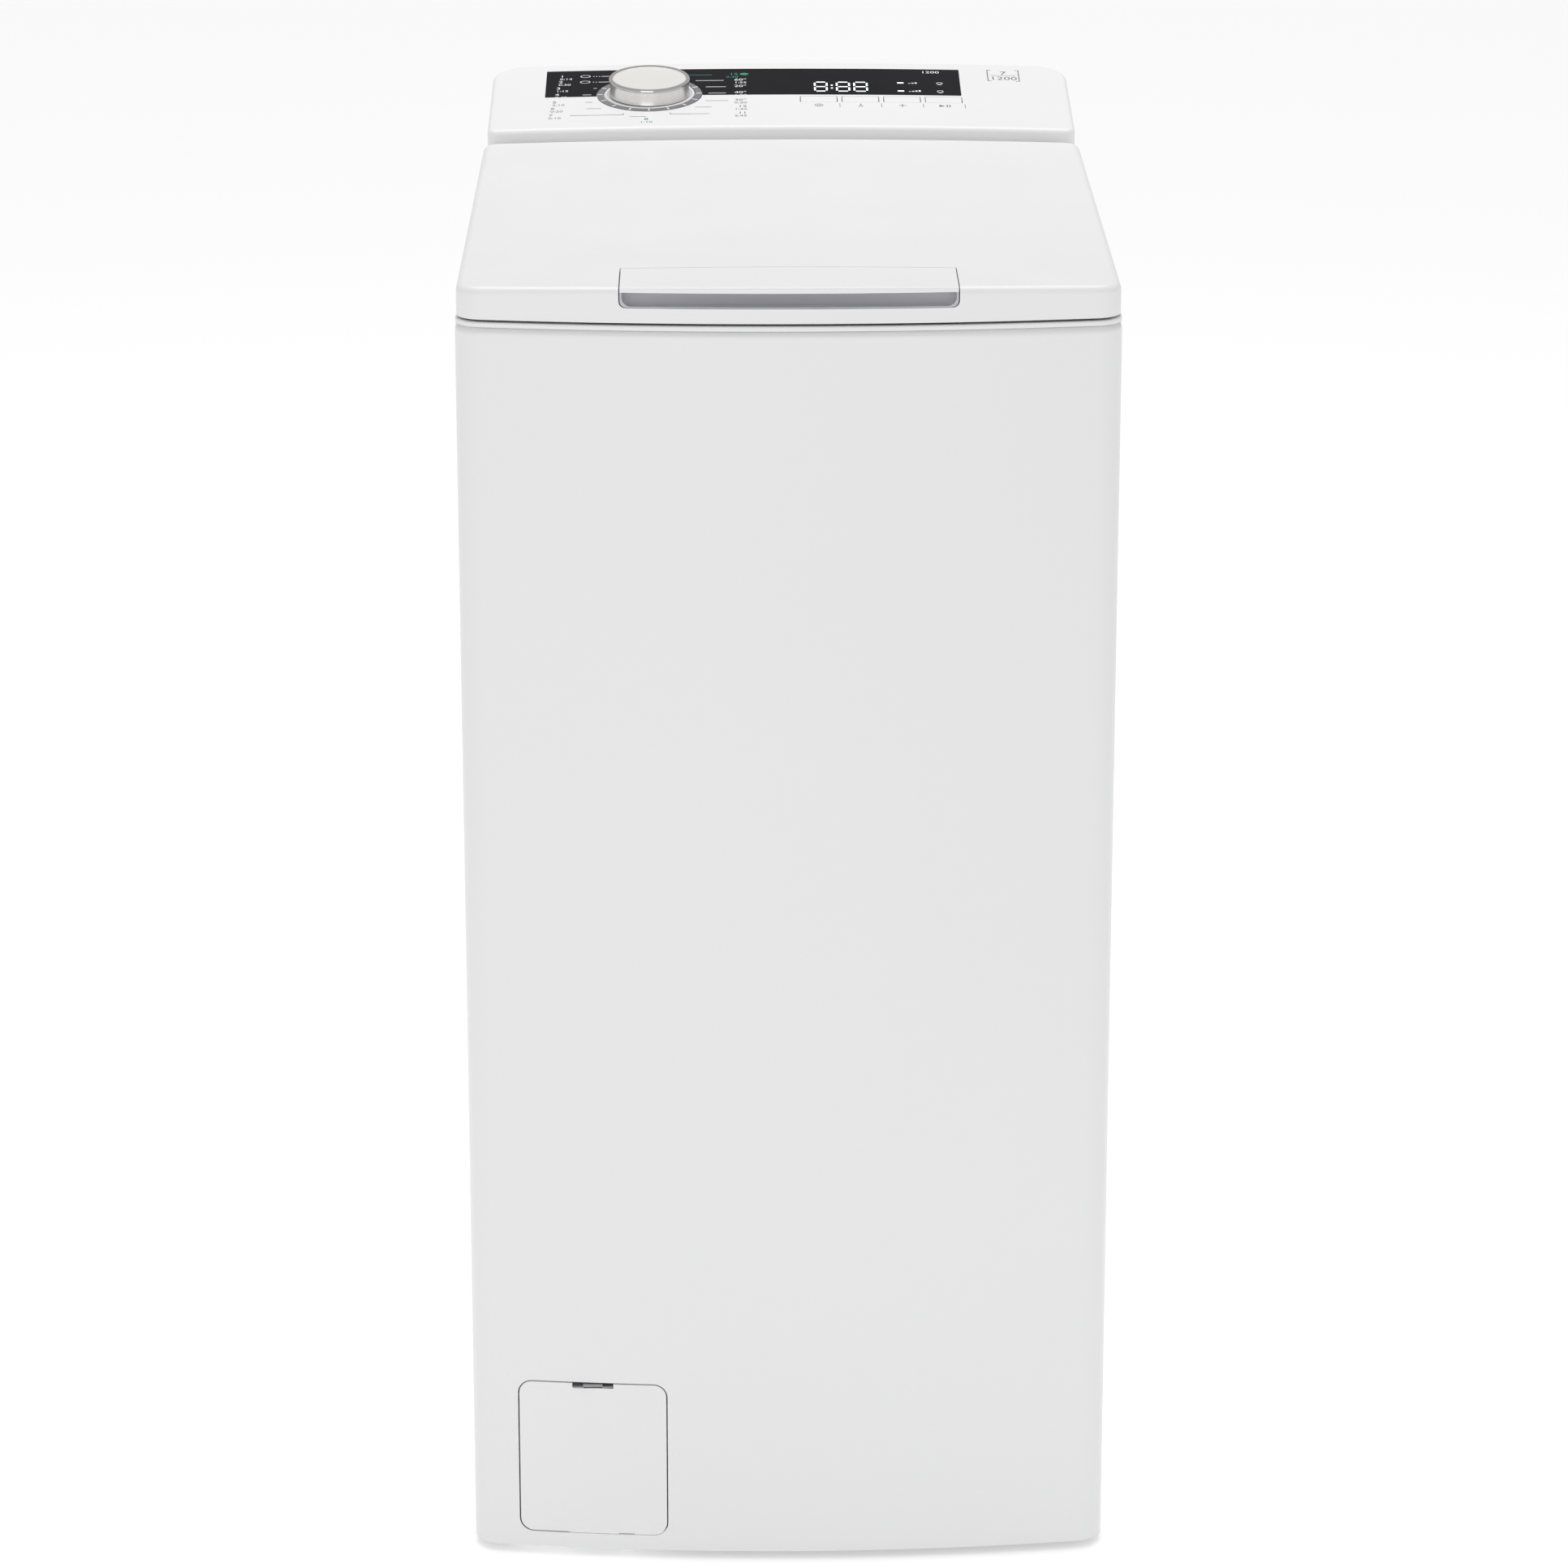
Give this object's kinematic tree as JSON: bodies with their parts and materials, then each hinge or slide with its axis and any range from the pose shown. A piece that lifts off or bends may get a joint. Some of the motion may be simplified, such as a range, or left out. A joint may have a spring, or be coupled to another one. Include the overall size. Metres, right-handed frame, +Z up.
{
  "type": "top load washing machine",
  "caption": "Narrow free-standing top load washing machine with a horizontal drum, hinged lid, sloping console with knob and keys, and a filter door.",
  "frame": {"origin": "on the floor under the middle of the machine's box", "axes": "+X to the machine's right seen from the front, +Y to the back, +Z up"},
  "size_m": [0.4, 0.5999, 0.8561],
  "materials": {
    "painted_steel": "gloss",
    "galvanised_steel": "satin",
    "stainless_steel": "satin",
    "white_plastic": "satin",
    "white_inner_plastic": "satin",
    "black_gloss_plastic": "gloss",
    "black_plastic": "matte",
    "grey_plastic": "satin",
    "knob_plastic": "satin",
    "tub_plastic": "satin",
    "rubber_grey": "matte",
    "rubber_black": "matte",
    "concrete": "matte",
    "circuit_board": "satin",
    "motor_steel": "satin",
    "aluminium_cast": "satin"
  },
  "bodies": {
    "cabinet": {"front_panel": "painted_steel", "left_side_panel": "painted_steel", "right_side_panel": "painted_steel", "rear_panel": "galvanised_steel", "rear_cover": "galvanised_steel", "base_frame": "grey_plastic", "levelling_feet": "rubber_black", "cabinet_screws": "galvanised_steel", "top_frame": "white_plastic", "lid_hinge_pins": "stainless_steel", "console_housing": "white_plastic", "console_fascia": "black_gloss_plastic", "dial_ring": "grey_plastic", "control_board": "circuit_board", "door_lock": "black_plastic", "inlet_valve": "white_inner_plastic", "inlet_hose": "rubber_black", "drain_outlet": "grey_plastic", "drain_hose": "rubber_grey", "drain_pump": "black_plastic", "filter_housing": "grey_plastic", "filter_bay": "white_inner_plastic", "cable_gland": "black_plastic", "damper_cylinders": "black_plastic", "sump_hose": "rubber_black", "door_bellows": "rubber_grey", "suspension_springs": "galvanised_steel"},
    "tub": {"tub_left_half": "tub_plastic", "tub_right_half": "tub_plastic", "tub_gasket": "rubber_black", "tub_screws": "galvanised_steel", "bearings": "stainless_steel", "shaft_seals": "rubber_black", "counterweights": "concrete", "heater": "stainless_steel", "motor_housing": "motor_steel", "drive_belt": "rubber_black", "damper_rods": "galvanised_steel"},
    "drum": {"drum_shell": "stainless_steel", "drum_ends": "stainless_steel", "drum_paddles": "white_inner_plastic", "drum_pulley": "aluminium_cast", "flap_hinge_pins": "stainless_steel"},
    "motor": {"motor_rotor": "galvanised_steel"},
    "front_flap": {"drum_flap_front": "stainless_steel"},
    "rear_flap": {"drum_flap_rear": "stainless_steel"},
    "flap_release": {"flap_button": "grey_plastic"},
    "lid": {"lid_shell": "white_plastic", "lid_liner": "white_inner_plastic", "lid_handle": "white_plastic"},
    "dispenser": {"dispenser_tray": "white_inner_plastic"},
    "lock": {"lock_bolt": "grey_plastic"},
    "knob": {"program_knob": "knob_plastic"},
    "key_a": {"key_1": "white_plastic"},
    "key_b": {"key_2": "white_plastic"},
    "key_c": {"key_3": "white_plastic"},
    "key_d": {"key_4": "white_plastic"},
    "service_door": {"filter_door": "white_plastic"},
    "filter": {"filter_plug": "grey_plastic"},
    "impeller": {"pump_impeller": "white_inner_plastic"}
  },
  "joints": [
    {"name": "tub_bounce", "type": "slide", "parent": "cabinet", "child": "tub", "axis": [0, 0, 1], "range_m": [-0.012, 0.012], "stiffness_N_per_m": 12000, "deforming": ["suspension_springs", "door_bellows", "sump_hose"]},
    {"name": "drum_spin", "type": "hinge", "parent": "tub", "child": "drum", "pos_m": [0, -0.038, 0.43], "axis": [1, 0, 0], "range_deg": [-720, 720]},
    {"name": "motor_spin", "type": "hinge", "parent": "tub", "child": "motor", "pos_m": [0, 0.11, 0.16], "axis": [1, 0, 0], "range_deg": [-7200, 7200]},
    {"name": "front_flap_open", "type": "hinge", "parent": "drum", "child": "front_flap", "pos_m": [0, -0.14976, 0.61601], "axis": [1, 0, 0], "range_deg": [0, 80]},
    {"name": "rear_flap_open", "type": "hinge", "parent": "drum", "child": "rear_flap", "pos_m": [0, 0.07376, 0.61601], "axis": [-1, 0, 0], "range_deg": [0, 80]},
    {"name": "flap_button_press", "type": "slide", "parent": "front_flap", "child": "flap_release", "axis": [0, 0.1392, -0.9903], "range_m": [0, 0.003], "stiffness_N_per_m": 400, "springref_m": -0.002},
    {"name": "lid_open", "type": "hinge", "parent": "cabinet", "child": "lid", "pos_m": [0, 0.1465, 0.8125], "axis": [-1, 0, 0], "range_deg": [0, 85]},
    {"name": "dispenser_unclip", "type": "slide", "parent": "lid", "child": "dispenser", "axis": [0, -1, 0], "range_m": [0, 0.012]},
    {"name": "lock_bolt_slide", "type": "slide", "parent": "cabinet", "child": "lock", "axis": [-1, 0, 0], "range_m": [0, 0.009]},
    {"name": "knob_turn", "type": "hinge", "parent": "cabinet", "child": "knob", "pos_m": [-0.089, 0.23132, 0.84111], "axis": [0, -0.1404, 0.9901], "continuous": true},
    {"name": "service_door_tilt", "type": "hinge", "parent": "cabinet", "child": "service_door", "pos_m": [-0.124, -0.2986, 0.0152], "axis": [1, 0, 0], "range_deg": [0, 80]},
    {"name": "filter_turn", "type": "hinge", "parent": "cabinet", "child": "filter", "pos_m": [-0.124, -0.25, 0.066], "axis": [0, -1, 0], "range_deg": [0, 360]},
    {"name": "impeller_spin", "type": "hinge", "parent": "cabinet", "child": "impeller", "pos_m": [-0.124, -0.11, 0.066], "axis": [0, 1, 0], "continuous": true},
    {"name": "key_1_press", "type": "slide", "parent": "cabinet", "child": "key_a", "axis": [0, 0.1404, -0.9901], "range_m": [0, 0.001], "stiffness_N_per_m": 800, "springref_m": -0.001},
    {"name": "key_2_press", "type": "slide", "parent": "cabinet", "child": "key_b", "axis": [0, 0.1404, -0.9901], "range_m": [0, 0.001], "stiffness_N_per_m": 800, "springref_m": -0.001},
    {"name": "key_3_press", "type": "slide", "parent": "cabinet", "child": "key_c", "axis": [0, 0.1404, -0.9901], "range_m": [0, 0.001], "stiffness_N_per_m": 800, "springref_m": -0.001},
    {"name": "key_4_press", "type": "slide", "parent": "cabinet", "child": "key_d", "axis": [0, 0.1404, -0.9901], "range_m": [0, 0.001], "stiffness_N_per_m": 800, "springref_m": -0.001}
  ],
  "couplings": [
    {"joint": "motor_spin", "follows": "drum_spin", "ratio": 10}
  ]
}
